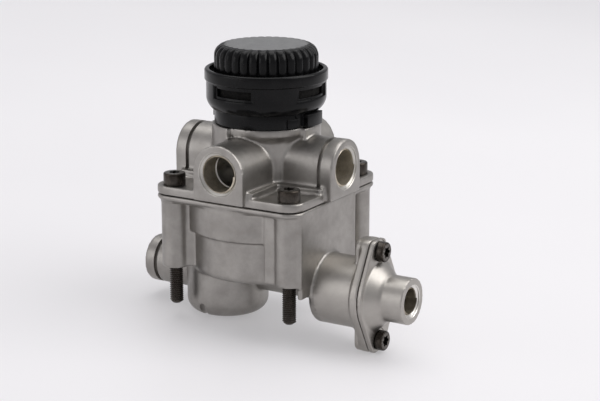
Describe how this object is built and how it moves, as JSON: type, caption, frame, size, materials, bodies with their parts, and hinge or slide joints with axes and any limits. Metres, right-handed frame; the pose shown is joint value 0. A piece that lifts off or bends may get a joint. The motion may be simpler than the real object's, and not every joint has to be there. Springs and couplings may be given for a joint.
{
  "type": "air brake relay valve",
  "caption": "Pneumatic brake relay valve: two-piece cast aluminium housing with side ports, a flanged control check valve and a ribbed black exhaust silencer.",
  "frame": {"origin": "on the valve's main axis, in the plane of the four pillar ends, where a bracket sits", "axes": "+Z along the main axis towards the silencer, +X towards the control check valve, -Y towards a supply port"},
  "size_m": [0.175, 0.105, 0.1701],
  "materials": {
    "housing_casting": "blasted die casting",
    "inner_metal": "machined",
    "dark_steel": "black oxide",
    "spring_steel": "drawn wire",
    "black_plastic": "satin moulded",
    "absorber_pack": "knitted fibre",
    "rubber": "moulded rubber"
  },
  "bodies": {
    "housing": {"upper_housing": "housing_casting", "lower_housing": "housing_casting", "check_valve_cover": "housing_casting", "valve_guide": "inner_metal", "housing_bolt_1": "dark_steel", "housing_bolt_2": "dark_steel", "housing_bolt_3": "dark_steel", "housing_bolt_4": "dark_steel", "cover_screw_1": "dark_steel", "cover_screw_2": "dark_steel", "valve_spring": "spring_steel", "retaining_ring": "spring_steel", "silencer_base": "black_plastic", "silencer_body": "black_plastic", "silencer_cap": "black_plastic", "silencer_mesh": "absorber_pack", "guide_o_ring": "rubber", "stem_o_ring": "rubber", "housing_o_ring": "rubber", "check_cover_o_ring": "rubber"},
    "piston": {"relay_piston": "inner_metal", "piston_o_ring": "rubber"},
    "poppet": {"valve_poppet": "inner_metal", "poppet_seal": "rubber"},
    "shuttle": {"check_shuttle": "rubber"}
  },
  "joints": [
    {"name": "piston_slide", "type": "slide", "parent": "housing", "child": "piston", "axis": [0, 0, 1], "range_m": [0, 0.005]},
    {"name": "valve_slide", "type": "slide", "parent": "housing", "child": "poppet", "axis": [0, 0, 1], "range_m": [0, 0.0032], "stiffness_N_per_m": 400, "deforming": ["valve_spring"]},
    {"name": "shuttle_slide", "type": "slide", "parent": "housing", "child": "shuttle", "axis": [1, 0, 0], "range_m": [0, 0.005]}
  ],
  "couplings": [
    {"joint": "valve_slide", "follows": "piston_slide", "ratio": 0.64}
  ]
}
